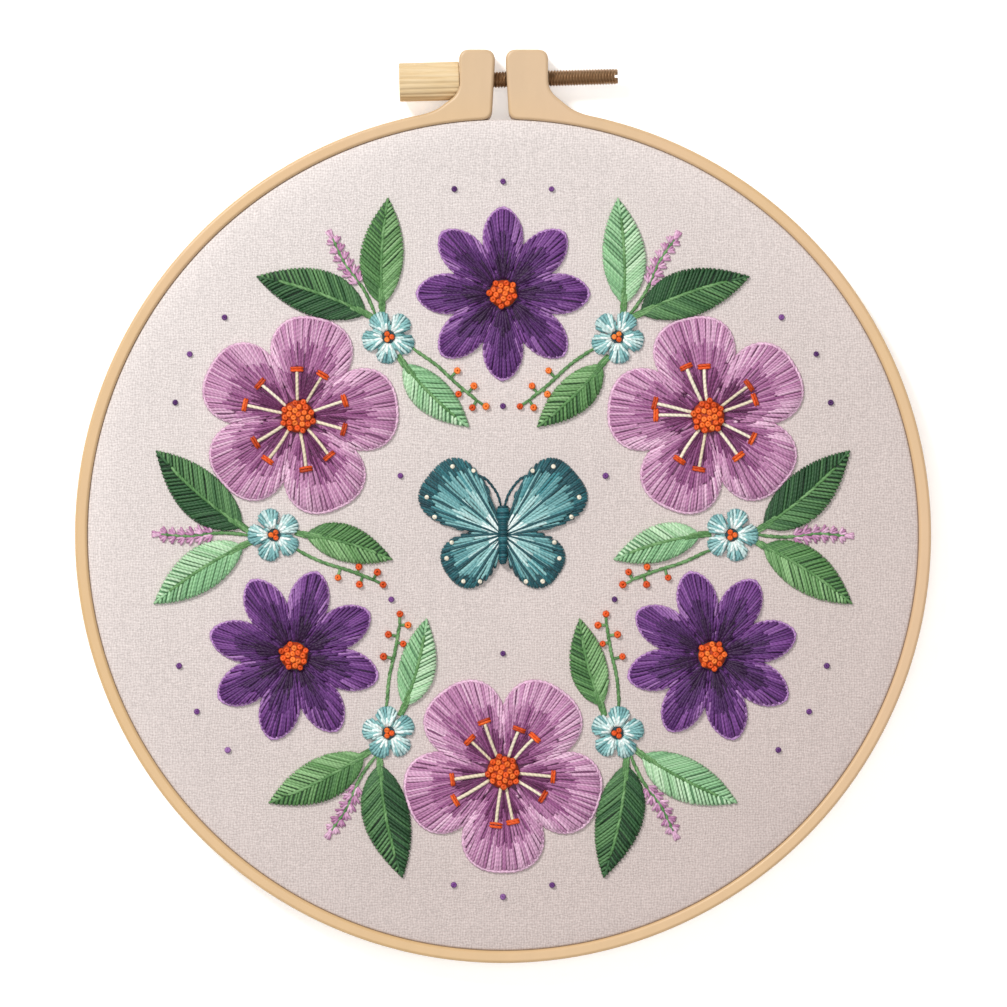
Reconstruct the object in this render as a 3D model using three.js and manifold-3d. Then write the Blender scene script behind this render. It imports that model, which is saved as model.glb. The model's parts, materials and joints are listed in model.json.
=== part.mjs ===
// A hoop embroidery picture: linen stretched over an inner hoop, a split outer hoop drawn round it by a knob
// screw through two lugs, and a stitched wreath of flowers and leaves about a butterfly, raised on the linen.
// Millimetres. It lies on its back: +Z is the stitched face, +Y the side with the screw, and the origin is
// the middle of its footprint, on the surface that it rests on.

import * as THREE from "three";
import { mergeVertices } from "three/addons/utils/BufferGeometryUtils.js";
import Module from "manifold-3d";

const wasm = await Module();
wasm.setup();

// ---- Driving dimensions ----

const OPENING_RADIUS = 100; // the outer hoop's inner wall
const OUTER_WALL = 3;
const INNER_WALL = 3.5;
const HOOP_DEPTH = 10; // front to back
const FRONT_ROUND = 0.8; // rounding of the outer hoop's front edges
const INNER_ROUND = 0.6; // rounding of the inner hoop's front edges, which the linen bends over
const CLOTH_THICKNESS = 1;
const CLOTH_SINK = 0.6; // from the outer hoop's front down to the linen
const CLOTH_HEM = 0.8; // from the resting surface up to the linen's trimmed edge
const SEAT_GAP = 0.3; // between pieces that touch
const CIRCLE_STEPS = 72;

const LUG_TOP = 116.8; // from the hoop's centre
const LUG_CORNER = 2;
// Distances across from the hoop's centre line. The two faces at the split lean apart towards the ring, and
// each outer face flares into the ring, from flareTop above the centre to flareFoot beside it.
const LUGS = [
  { splitTop: -1.95, splitFoot: -2.6, face: -10.6, flareTop: 106.3, flareFoot: -16.9 },
  { splitTop: 0.65, splitFoot: 1.3, face: 10.9, flareTop: 107, flareFoot: 17.7 },
];

// The screw's own axis is X, with 0 where it crosses the split.
const SCREW_TILT = 1.6; // degrees that it rises towards its slotted end
const SCREW_AT = { x: -0.7, y: 109.8 }; // of that 0, from the hoop's centre
const SCREW = { radius: 2, start: -19.3, end: 28.4, pitch: 0.7, threadDepth: 0.35 };
const THREADED = [
  { from: -2.1, to: 2.1 },
  { from: 11.2, to: 28 },
];
const SLOT = { width: 0.8, depth: 0.8 };
const KNOB = { radius: 4.65, start: -24.3, end: -10.3, chamfer: 0.5, flutes: 20, fluteDepth: 0.25 };

// Height of the stitching above the linen's face.
const RISE = { blossom: 1.7, leaf: 1.3, posy: 1.1, wing: 1.4, edge: 0.5 };
const LOBE_ROWS = 5; // steps along a petal, leaf or wing

// How a petal, leaf or wing widens from its foot and narrows to its tip: the power of the way along each.
const SWELLS = {
  broad: { opens: 0.6, closes: 0.42 },
  narrow: { opens: 0.75, closes: 0.62 },
  posy: { opens: 0.6, closes: 0.45 },
  leaf: { opens: 0.75, closes: 0.95 },
  forewing: { opens: 1, closes: 0.36 },
  hindwing: { opens: 0.8, closes: 0.4 },
};

// The wreath is one third, set down three times. at is the angle round the hoop in degrees, and reach the
// distance from its centre. A flower's petals start where its raised heart, of radius heart, ends.
const THIRDS = 3;
const WREATH_START = 30;
const BLOSSOMS = [
  { name: "lilac", at: 0, reach: 57, petals: 5, length: 19.2, width: 19.5, swell: "broad", heart: 4.6 },
  { name: "violet", at: 60, reach: 58, petals: 8, length: 16.5, width: 9.4, swell: "narrow", heart: 4 },
];
const POSY = { petals: 5, length: 4.6, width: 5.2, swell: "posy", heart: 1.6 };
const POSIES = [
  { name: "posy_a", at: 30, reach: 55 },
  { name: "posy_b", at: 90, reach: 55 },
];
// heading is the angle from pointing straight out, and lean the sideways bend at the tip.
const LEAVES = [
  { name: "leaf_a", at: 28, reach: 63, heading: -31, length: 27, width: 11.5, lean: 4, tone: "deep" },
  { name: "leaf_b", at: 32.5, reach: 63, heading: 24, length: 25, width: 10.5, lean: -3, tone: "pale" },
  { name: "leaf_c", at: 30, reach: 47, heading: 172, length: 21, width: 9, lean: 3, tone: "mid" },
  { name: "leaf_d", at: 87.5, reach: 63, heading: -24, length: 25, width: 10.5, lean: 3, tone: "mid" },
  { name: "leaf_e", at: 92, reach: 63, heading: 31, length: 27, width: 11.5, lean: -4, tone: "deep" },
  { name: "leaf_f", at: 90, reach: 47, heading: 188, length: 21, width: 9, lean: -3, tone: "pale" },
];

// The butterfly's wings, each with its mirror image. heading is the angle from straight up.
const WINGS = [
  { heading: 50, length: 23, width: 16, swell: "forewing" },
  { heading: 126, length: 16.5, width: 13, swell: "hindwing" },
];
const BUTTERFLY_BODY = { radius: 1.1, length: 12 };

const OUTER_RADIUS = OPENING_RADIUS + OUTER_WALL;
const CLOTH_FRONT = HOOP_DEPTH - CLOTH_SINK;
const CLOTH_BACK = CLOTH_FRONT - CLOTH_THICKNESS;
const STITCH_FOOT = CLOTH_FRONT + SEAT_GAP;

// ---- Materials ----

function finish(color, roughness, metalness = 0) {
  return new THREE.MeshStandardMaterial({ color, roughness, metalness });
}

const MATERIALS = {
  hoop: finish(0xe5c6a0, 0.45),
  linen: finish(0xe6dcd4, 0.9),
  screw: finish(0x6b4a2f, 0.4, 0.9),
  knob: finish(0xe8cd9e, 0.6),
  lilac: finish(0xb87fb0, 0.6),
  violet: finish(0x5d2f7d, 0.6),
  amber: finish(0xd9581c, 0.6),
  aqua: finish(0x7fb5b5, 0.6),
  teal: finish(0x23616a, 0.6),
  deep: finish(0x2f5136, 0.6),
  mid: finish(0x5f8a55, 0.6),
  pale: finish(0xa5cba0, 0.6),
};

// ---- Geometry helpers ----

const radians = THREE.MathUtils.degToRad;
const point = (x, y) => new THREE.Vector2(x, y);
const countTo = (count) => Array.from({ length: count }, (_, i) => i);

// The geometry with shared corners merged and the triangles that this flattens to a line left out.
function welded(geometry) {
  const bare = geometry.clone();
  bare.deleteAttribute("normal");
  bare.deleteAttribute("uv");
  const merged = mergeVertices(bare, 1e-4);
  const corners = merged.index.array;
  const kept = [];
  for (let i = 0; i < corners.length; i += 3) {
    const [a, b, c] = corners.slice(i, i + 3);
    if (a !== b && b !== c && c !== a) kept.push(a, b, c);
  }
  merged.setIndex(kept);
  return merged;
}

function solidOf(geometry) {
  const merged = welded(geometry);
  const vertProperties = new Float32Array(merged.attributes.position.array);
  const triVerts = new Uint32Array(merged.index.array);
  return new wasm.Manifold(new wasm.Mesh({ numProp: 3, vertProperties, triVerts }));
}

function geometryOf(solid) {
  const { vertProperties, triVerts } = solid.getMesh();
  const geometry = new THREE.BufferGeometry();
  geometry.setAttribute("position", new THREE.BufferAttribute(vertProperties, 3));
  geometry.setIndex(new THREE.BufferAttribute(triVerts, 1));
  return geometry;
}

const join = (geometries) => geometryOf(geometries.map(solidOf).reduce((whole, next) => whole.add(next)));
const cut = (geometry, ...cutters) =>
  geometryOf(cutters.map(solidOf).reduce((whole, next) => whole.subtract(next), solidOf(geometry)));

// A closed profile of radius and height, turned round Z. It runs up its outer side and down its inner side.
function turned(profile, steps = CIRCLE_STEPS) {
  const points = profile.map(([radius, height]) => point(radius, height));
  return new THREE.LatheGeometry(points, steps).rotateX(Math.PI / 2);
}

// Profile points of an arc, between two angles in degrees.
function arc([centreRadius, centreHeight], radius, from, to, steps = 3) {
  return countTo(steps + 1).map((i) => {
    const angle = radians(from + ((to - from) * i) / steps);
    return [centreRadius + radius * Math.cos(angle), centreHeight + radius * Math.sin(angle)];
  });
}

// A bar round the screw's own axis.
function bar(radius, start, end, sides) {
  return new THREE.CylinderGeometry(radius, radius, end - start, sides)
    .rotateZ(-Math.PI / 2)
    .translate((start + end) / 2, 0, 0);
}

// ---- Hoops and linen ----

// A bend of the outline from one point to another, drawn towards the corner between them.
const bend = (from, corner, to) => new THREE.QuadraticBezierCurve(from, corner, to).getPoints(3);

// One lug's outline, from the ring's inner wall up the split, over the top and down the flare.
function lugOutline({ splitTop, splitFoot, face, flareTop, flareFoot }) {
  const away = Math.sign(face) * LUG_CORNER;
  const onRing = (x, radius) => point(x, Math.sqrt(radius ** 2 - x ** 2));
  const foot = onRing(splitFoot, OPENING_RADIUS);
  const flareEnd = onRing(flareFoot, OUTER_RADIUS);
  const flareCorner = point(face, flareTop);
  return [
    ...bend(onRing(splitFoot + away, OPENING_RADIUS), foot, point(splitFoot, foot.y + LUG_CORNER)),
    ...bend(point(splitTop, LUG_TOP - LUG_CORNER), point(splitTop, LUG_TOP), point(splitTop + away, LUG_TOP)),
    ...bend(point(face - away, LUG_TOP), point(face, LUG_TOP), point(face, LUG_TOP - LUG_CORNER)),
    ...bend(point(face, flareTop + LUG_CORNER), flareCorner, flareCorner.clone().lerp(flareEnd, 0.3)),
    flareEnd,
  ];
}

// The points between two others on a circle about the hoop's centre, the long way round.
function roundRing(from, to) {
  const direct = to.angle() - from.angle();
  const sweep = direct - Math.sign(direct) * 2 * Math.PI;
  return countTo(CIRCLE_STEPS - 1).map((i) =>
    from.clone().rotateAround(point(0, 0), (sweep * (i + 1)) / CIRCLE_STEPS),
  );
}

// The split hoop with its lugs: round in front, flat behind, bored for the screw and hollowed for the knob.
function outerHoop() {
  const [left, right] = LUGS.map(lugOutline);
  const innerWall = roundRing(right[0], left[0]);
  const outerWall = roundRing(left.at(-1), right.at(-1));
  const outline = new THREE.Shape([...innerWall, ...left, ...outerWall, ...right.reverse()]);
  const block = new THREE.ExtrudeGeometry(outline, {
    depth: HOOP_DEPTH - FRONT_ROUND,
    bevelThickness: FRONT_ROUND,
    bevelSize: FRONT_ROUND,
    bevelOffset: -FRONT_ROUND,
    bevelSegments: 3,
  });
  const behind = new THREE.BoxGeometry(3 * LUG_TOP, 3 * LUG_TOP, HOOP_DEPTH).translate(0, 0, -HOOP_DEPTH / 2);
  const bore = atScrew(bar(SCREW.radius + SEAT_GAP, KNOB.end - 1, SCREW.end, 24));
  const pocket = atScrew(bar(KNOB.radius + SEAT_GAP, KNOB.start, KNOB.end + SEAT_GAP, 32));
  return cut(block, behind, bore, pocket);
}

const innerRadius = OPENING_RADIUS - SEAT_GAP - CLOTH_THICKNESS - SEAT_GAP; // the inner hoop's outer wall
const innerTop = CLOTH_BACK - SEAT_GAP;
const bendCentre = [innerRadius - INNER_ROUND, innerTop - INNER_ROUND];

function innerHoop() {
  const wall = innerRadius - INNER_WALL;
  return turned([
    [wall, 0],
    [innerRadius, 0],
    ...arc(bendCentre, INNER_ROUND, 0, 90),
    ...arc([wall + INNER_ROUND, bendCentre[1]], INNER_ROUND, 90, 180),
    [wall, 0],
  ]);
}

// The linen in one piece: flat across the inner hoop, bent over its edge and down between the two hoops.
function cloth() {
  const under = INNER_ROUND + SEAT_GAP;
  const over = under + CLOTH_THICKNESS;
  return turned([
    [0, CLOTH_BACK],
    ...arc(bendCentre, under, 90, 0),
    [bendCentre[0] + under, CLOTH_HEM],
    [bendCentre[0] + over, CLOTH_HEM],
    ...arc(bendCentre, over, 0, 90),
    [0, CLOTH_FRONT],
  ]);
}

// ---- Knob and screw ----

// Carries a geometry from the screw's own axis to where the screw sits in the hoop.
function atScrew(geometry) {
  return geometry.rotateZ(radians(SCREW_TILT)).translate(SCREW_AT.x, SCREW_AT.y, HOOP_DEPTH / 2);
}

// The screw, grooved at its pitch where it shows and slotted at its free end.
function screw() {
  const { radius, start, end, pitch, threadDepth } = SCREW;
  const profile = [
    [0, start],
    [radius, start],
  ];
  for (const { from, to } of THREADED) {
    for (const turn of countTo(Math.round((to - from) / pitch))) {
      const crest = from + turn * pitch;
      profile.push([radius, crest], [radius - threadDepth, crest + pitch / 2]);
    }
    profile.push([radius, to]);
  }
  profile.push([radius - threadDepth, end], [0, end]);
  const slot = new THREE.BoxGeometry(2 * SLOT.depth, SLOT.width, 3 * radius).translate(end, 0, 0);
  return cut(turned(profile, 10).rotateY(Math.PI / 2), slot);
}

// The fluted grip, chamfered at both ends and bored from one for the screw.
function knob() {
  const { radius, start, end, chamfer, flutes, fluteDepth } = KNOB;
  const outline = countTo(4 * flutes).map((i) => {
    const reach = radius - (i % 4 < 2 ? 0 : fluteDepth);
    return point(reach, 0).rotateAround(point(0, 0), (2 * Math.PI * i) / (4 * flutes));
  });
  const fluted = new THREE.ExtrudeGeometry(new THREE.Shape(outline), {
    depth: end - start,
    bevelEnabled: false,
  });
  const chamfered = turned(
    [
      [0, start],
      [radius - chamfer, start],
      [radius + fluteDepth, start + chamfer + fluteDepth],
      [radius + fluteDepth, end - chamfer - fluteDepth],
      [radius - chamfer, end],
      [0, end],
    ],
    32,
  );
  const bore = bar(SCREW.radius + SEAT_GAP, SCREW.start - SEAT_GAP, end + 1, 16);
  const grip = solidOf(fluted.translate(0, 0, start)).intersect(solidOf(chamfered));
  return cut(geometryOf(grip).rotateY(Math.PI / 2), bore);
}

// ---- Stitched relief ----

// Width of a petal, leaf or wing a share of the way along it, against its full width.
function widthAt(share, swell) {
  const { opens, closes } = SWELLS[swell];
  const widest = opens / (opens + closes);
  return (share / widest) ** opens * ((1 - share) / (1 - widest)) ** closes;
}

// A padded petal, leaf or wing with its foot at the origin, pointing along Y: a low groove down its middle, a
// crest to each side of that, and an upright edge.
function lobe(shape, rise, rows = LOBE_ROWS) {
  const { length, width, swell, lean = 0 } = shape;
  const section = [
    { across: -1, crown: null },
    { across: -1, crown: 0 },
    { across: -0.5, crown: 1 },
    { across: 0, crown: 0.65 },
    { across: 0.5, crown: 1 },
    { across: 1, crown: 0 },
    { across: 1, crown: null },
  ];
  const positions = [];
  for (const row of countTo(rows + 1)) {
    const share = row / rows;
    const halfWidth = (width / 2) * widthAt(share, swell);
    const pad = (rise - RISE.edge) * Math.sqrt(Math.sin(Math.PI * Math.min(share, 1 - 1e-9)));
    for (const { across, crown } of section) {
      const height = crown === null ? 0 : RISE.edge + crown * pad;
      positions.push(lean * share ** 2 + across * halfWidth, length * share, height);
    }
  }
  const around = section.length;
  const index = [];
  for (const row of countTo(rows)) {
    for (const i of countTo(around)) {
      const [a, b] = [row * around + i, row * around + ((i + 1) % around)];
      index.push(a, b, a + around, b, b + around, a + around);
    }
  }
  const geometry = new THREE.BufferGeometry();
  geometry.setAttribute("position", new THREE.Float32BufferAttribute(positions, 3));
  geometry.setIndex(index);
  return geometry;
}

// A low pad that the petals' feet grow from.
function stitchedPad(radius, sides) {
  const disc = new THREE.CylinderGeometry(radius, radius, RISE.edge, sides);
  return disc.rotateX(Math.PI / 2).translate(0, 0, RISE.edge / 2);
}

// Petals round a low pad, which the flower's heart stands on.
function flower({ petals, heart, ...petal }, rise, rows = LOBE_ROWS) {
  const foot = heart + SEAT_GAP;
  const whorl = countTo(petals).map((i) => {
    const turn = (2 * Math.PI * i) / petals;
    return lobe(petal, rise, rows).translate(0, foot, 0).rotateZ(turn);
  });
  return join([stitchedPad(foot + 2, 2 * petals), ...whorl]);
}

// The raised heart of a flower: a shallow dome of knots.
function flowerHeart({ heart }) {
  const height = 0.36 * heart;
  const dome = countTo(4).map((i) => {
    const angle = (i * Math.PI) / 6;
    return [heart * Math.cos(angle), 0.3 + height * Math.sin(angle)];
  });
  return turned([[0, 0], [heart, 0], ...dome], 12);
}

// Both pairs of wings on a pad along the body.
function wings() {
  const spread = WINGS.flatMap((wing) =>
    [-1, 1].map((side) => lobe(wing, RISE.wing).rotateZ(side * radians(wing.heading))),
  );
  return join([stitchedPad(BUTTERFLY_BODY.radius * 2, 12), ...spread]);
}

function butterflyBody() {
  const { radius, length } = BUTTERFLY_BODY;
  return new THREE.CapsuleGeometry(radius, length, 3, 10).translate(0, 0, radius);
}

// ---- Assembly ----

function piece(name, geometry, material) {
  const mesh = new THREE.Mesh(welded(geometry), material);
  mesh.name = name;
  return mesh;
}

// A piece turned on its own foot and set down at an angle round the hoop and a distance from its centre.
function onSpoke({ at, reach, heading = 0 }, mesh) {
  const spoke = new THREE.Group();
  spoke.rotation.z = radians(at);
  mesh.position.x = reach;
  mesh.rotation.z = radians(heading - 90);
  spoke.add(mesh);
  return spoke;
}

// One third of the wreath.
function third(number) {
  const group = new THREE.Group();
  for (const blossom of BLOSSOMS) {
    const name = `${blossom.name}_${number}`;
    const heart = piece(`${name}_heart`, flowerHeart(blossom), MATERIALS.amber);
    heart.position.z = RISE.edge + SEAT_GAP;
    group.add(onSpoke(blossom, piece(name, flower(blossom, RISE.blossom), MATERIALS[blossom.name])));
    group.add(onSpoke(blossom, heart));
  }
  for (const posy of POSIES) {
    group.add(onSpoke(posy, piece(`${posy.name}_${number}`, flower(POSY, RISE.posy, 3), MATERIALS.aqua)));
  }
  for (const leaf of LEAVES) {
    const geometry = lobe({ ...leaf, swell: "leaf" }, RISE.leaf);
    group.add(onSpoke(leaf, piece(`${leaf.name}_${number}`, geometry, MATERIALS[leaf.tone])));
  }
  return group;
}

function stitching() {
  const group = new THREE.Group();
  group.position.z = STITCH_FOOT;
  for (const i of countTo(THIRDS)) {
    const part = third(i + 1);
    part.rotation.z = radians(WREATH_START + (360 / THIRDS) * i);
    group.add(part);
  }
  const body = piece("butterfly_body", butterflyBody(), MATERIALS.teal);
  body.position.z = RISE.edge + SEAT_GAP;
  group.add(piece("butterfly_wings", wings(), MATERIALS.aqua), body);
  return group;
}

function knobAndScrew() {
  const group = new THREE.Group();
  group.position.set(SCREW_AT.x, SCREW_AT.y, HOOP_DEPTH / 2);
  group.rotation.z = radians(SCREW_TILT);
  group.add(piece("screw", screw(), MATERIALS.screw), piece("knob", knob(), MATERIALS.knob));
  return group;
}

const hoopEmbroidery = new THREE.Group();
hoopEmbroidery.position.y = (OUTER_RADIUS - LUG_TOP) / 2;
hoopEmbroidery.add(
  piece("outer_hoop", outerHoop(), MATERIALS.hoop),
  piece("inner_hoop", innerHoop(), MATERIALS.hoop),
  piece("cloth", cloth(), MATERIALS.linen),
  knobAndScrew(),
  stitching(),
);

export default hoopEmbroidery;
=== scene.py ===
"""The looks of an embroidered linen picture in its hoop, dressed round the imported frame.

Shapes are worked out in millimetres from the hoop's centre, and set into the row frame in metres.
The stitching is laid thread by thread: long and short stitch on petals and wings, fishbone stitch
on leaves, stem stitch along edges and stalks, satin stitch on the butterfly's body, French knots.
"""

import json
import math

import bmesh
import bpy
import numpy as np
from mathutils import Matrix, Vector, noise


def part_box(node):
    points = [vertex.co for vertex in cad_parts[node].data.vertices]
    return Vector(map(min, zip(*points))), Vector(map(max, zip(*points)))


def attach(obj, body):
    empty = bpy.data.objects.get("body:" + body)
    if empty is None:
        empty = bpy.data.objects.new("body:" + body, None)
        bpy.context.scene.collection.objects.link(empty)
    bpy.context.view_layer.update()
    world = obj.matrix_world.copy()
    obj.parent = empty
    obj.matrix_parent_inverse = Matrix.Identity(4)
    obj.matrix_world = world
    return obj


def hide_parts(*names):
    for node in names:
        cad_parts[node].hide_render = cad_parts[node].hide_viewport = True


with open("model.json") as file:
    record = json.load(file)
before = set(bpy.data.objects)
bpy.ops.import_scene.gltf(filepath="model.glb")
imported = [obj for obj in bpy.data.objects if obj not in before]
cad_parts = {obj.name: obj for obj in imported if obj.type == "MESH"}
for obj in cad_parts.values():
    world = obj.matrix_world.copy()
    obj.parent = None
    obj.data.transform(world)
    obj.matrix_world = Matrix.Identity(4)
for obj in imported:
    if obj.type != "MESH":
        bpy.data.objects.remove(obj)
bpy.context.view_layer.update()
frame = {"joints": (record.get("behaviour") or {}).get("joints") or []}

MM = 0.001
HOOP_BODY = "hoop"
SCREW_BODY = "clamp_screw"
rng = np.random.default_rng(20)

# ---- Places, from the frame ----

cloth_low, cloth_high = (np.array(corner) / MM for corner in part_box("cloth"))
hoop_low, hoop_high = (np.array(corner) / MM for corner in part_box("outer_hoop"))
CENTRE = (cloth_low + cloth_high)[:2] / 2
LINEN_FACE = cloth_high[2]
HOOP_DEPTH = hoop_high[2] - hoop_low[2]
screw_joint = next(joint for joint in frame["joints"] if joint["name"] == "screw_turn")
SCREW_AXIS = Vector(screw_joint["axis"]).normalized()

# ---- Sizes, in millimetres ----

OPENING_RADIUS = 100
OUTER_RADIUS = 103
INNER_WALL = 3.5
SEAT_GAP = 0.3  # between pieces that touch
FRONT_ROUND = 0.8
BACK_ROUND = 0.3
LUG_TOP = 116.8
LUG_CORNER = 2.6
# The X of each wall of a lug, and as flare_top the Y at which its far wall leans out.
LUGS = [
    dict(split_top=-1.95, split_foot=-2.6, face=-10.6, flare_top=106.3, flare_foot=-16.9),
    dict(split_top=0.65, split_foot=1.3, face=10.9, flare_top=107, flare_foot=17.7),
]

SCREW_AT = (-0.7, 109.8)  # where starts and ends along the screw are measured from
SCREW = dict(radius=2, start=-19.3, end=28.4, lead=1, pitch=0.7, depth=0.32)
THREADED = [(-2.1, 2.1), (11.2, 28)]
SLOT = dict(width=0.8, depth=0.8)
KNOB = dict(radius=4.65, start=-24.3, end=-9.85, chamfers=(0.15, 0.1), flutes=20, depth=0.17, seat=0.1)

LINEN_THICKNESS = 1
LINEN_HEM = 0.8
INNER_ROUND = 0.6
WEAVE_PITCH = 0.64

FLOSS = 0.34  # half the width of one thread
PLY_PITCH = 1.1
TUBE_SIDES = 6
SPACING = 0.58  # between threads laid side by side

EDGE = 0.5  # height of the padding at the edge of a petal or leaf
RISE = dict(blossom=1.7, leaf=1.3, posy=1.1, wing=1.4)
SWELLS = dict(
    broad=(0.6, 0.42),
    narrow=(0.75, 0.62),
    posy=(0.6, 0.45),
    leaf=(0.75, 0.95),
    forewing=(1, 0.36),
    hindwing=(0.8, 0.4),
)
THIRDS = 3
WREATH_START = 30
BLOSSOMS = [
    dict(name="lilac", at=0, reach=57, petals=5, length=19.2, width=19.5, swell="broad", heart=4.6),
    dict(name="violet", at=60, reach=58, petals=8, length=16.5, width=9.4, swell="narrow", heart=4),
]
POSY = dict(petals=5, length=4.6, width=5.2, swell="posy", heart=1.6)
POSIES = [
    dict(name="posy_a", at=30, reach=55),
    dict(name="posy_b", at=90, reach=55),
]
LEAVES = [
    dict(name="leaf_a", at=28, reach=63, heading=-31, length=27, width=11.5, lean=4, tone="deep"),
    dict(name="leaf_b", at=32.5, reach=63, heading=24, length=25, width=10.5, lean=-3, tone="pale"),
    dict(name="leaf_c", at=30, reach=47, heading=172, length=21, width=9, lean=3, tone="mid"),
    dict(name="leaf_d", at=87.5, reach=63, heading=-24, length=25, width=10.5, lean=3, tone="mid"),
    dict(name="leaf_e", at=92, reach=63, heading=31, length=27, width=11.5, lean=-4, tone="deep"),
    dict(name="leaf_f", at=90, reach=47, heading=188, length=21, width=9, lean=-3, tone="pale"),
]
WINGS = [
    dict(heading=50, length=23, width=16, swell="forewing"),
    dict(heading=126, length=16.5, width=13, swell="hindwing"),
]
BODY_RADIUS = 1.1
BODY_LENGTH = 12

# ---- Materials ----


def linear(red, green, blue):
    """A display colour of 0 to 255 as linear RGBA."""
    channels = (channel / 255 for channel in (red, green, blue))
    return tuple(c / 12.92 if c <= 0.04045 else ((c + 0.055) / 1.055) ** 2.4 for c in channels) + (1,)


class Surface:
    """A material whose nodes are added and wired one call at a time."""

    def __init__(self, name, **constants):
        self.material = bpy.data.materials.new(name)
        self.material.use_nodes = True
        self.tree = self.material.node_tree
        self.shader = self.tree.nodes["Principled BSDF"]
        self.place = self.node("TexCoord").outputs["Object"]
        self.finish(**constants)

    def finish(self, **inputs):
        """Feeds the shader's inputs, named with _ for a space, and gives the material."""
        for name, value in inputs.items():
            self.feed(self.shader.inputs[name.replace("_", " ")], value)
        return self.material

    def feed(self, socket, value):
        if isinstance(value, bpy.types.NodeSocket):
            self.tree.links.new(value, socket)
        else:
            socket.default_value = value

    def node(self, kind, inputs=(), **settings):
        node = self.tree.nodes.new(f"ShaderNode{kind}")
        for key, value in settings.items():
            setattr(node, key, value)
        for key, value in dict(inputs).items():
            self.feed(node.inputs[key], value)
        return node

    def math(self, operation, *values):
        return self.node("Math", dict(enumerate(values)), operation=operation).outputs[0]

    def split(self, vector):
        return self.node("SeparateXYZ", {0: vector}).outputs

    def attribute(self, name):
        return self.split(self.node("Attribute", attribute_name=name).outputs["Vector"])

    def noise(self, scale, detail=3, roughness=0.5):
        """Noise of one scale, or of a scale for each axis."""
        vector = self.place
        if isinstance(scale, tuple):
            vector, scale = self.node("Mapping", {"Vector": vector, "Scale": scale}).outputs[0], 1
        inputs = {"Vector": vector, "Scale": scale, "Detail": detail, "Roughness": roughness}
        return self.node("TexNoise", inputs).outputs["Fac"]

    def span(self, value, low, high, to_low=0, to_high=1):
        inputs = {"Value": value, "From Min": low, "From Max": high, "To Min": to_low, "To Max": to_high}
        return self.node("MapRange", inputs).outputs[0]

    def ramp(self, value, stops):
        node = self.node("ValToRGB", {0: value})
        elements = node.color_ramp.elements
        while len(elements) < len(stops):
            elements.new(0.5)
        for element, (at, colour) in zip(elements, stops.items()):
            element.position = at
            element.color = linear(*colour)
        return node.outputs[0]

    def lightness(self, colour, value, saturation=1):
        inputs = {"Color": colour, "Value": value, "Saturation": saturation}
        return self.node("HueSaturation", inputs).outputs[0]

    def varied(self, colour, pattern, darkest, lightest, low=0.3, high=0.7):
        """The colour, darkest where a pattern is low and lightest where it is high."""
        return self.lightness(colour, self.span(pattern, low, high, darkest, lightest))

    def distance(self, point):
        inputs = {0: self.place, 1: point}
        return self.node("VectorMath", inputs, operation="DISTANCE").outputs["Value"]

    def bump(self, height, distance, strength):
        inputs = {"Height": height, "Distance": distance, "Strength": strength}
        return self.node("Bump", inputs).outputs[0]


def floss(name, stops):
    """Stranded cotton, darkened by painted shade in the grooves between its plies. The attribute dye holds a
    tone, the thread's own lightness and the way along it.
    """
    sheen = dict(Sheen_Weight=0.2, Sheen_Tint=linear(*stops[1]))
    surface = Surface(name, Roughness=0.5, Specular_IOR_Level=0.3, **sheen)
    tone, own, along = surface.attribute("dye")
    cosine, sine, _ = surface.attribute("round")
    turn = surface.math("MULTIPLY", along, 2 * math.pi / PLY_PITCH)
    across = surface.math("MULTIPLY", surface.math("SINE", turn), cosine)
    plies = surface.math("MULTIPLY_ADD", surface.math("COSINE", turn), sine, across)
    fibres = surface.noise(2600, 2)
    colour = surface.varied(surface.ramp(tone, stops), own, 0.88, 1.12, 0, 1)
    # Painted shade: each thread darker in the grooves between its plies.
    colour = surface.varied(colour, plies, 0.84, 1.08, -1, 1)
    height = surface.math("MULTIPLY_ADD", plies, 0.5, fibres)
    return surface.finish(Base_Color=colour, Normal=surface.bump(height, 0.09 * MM, 0.8))


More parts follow.
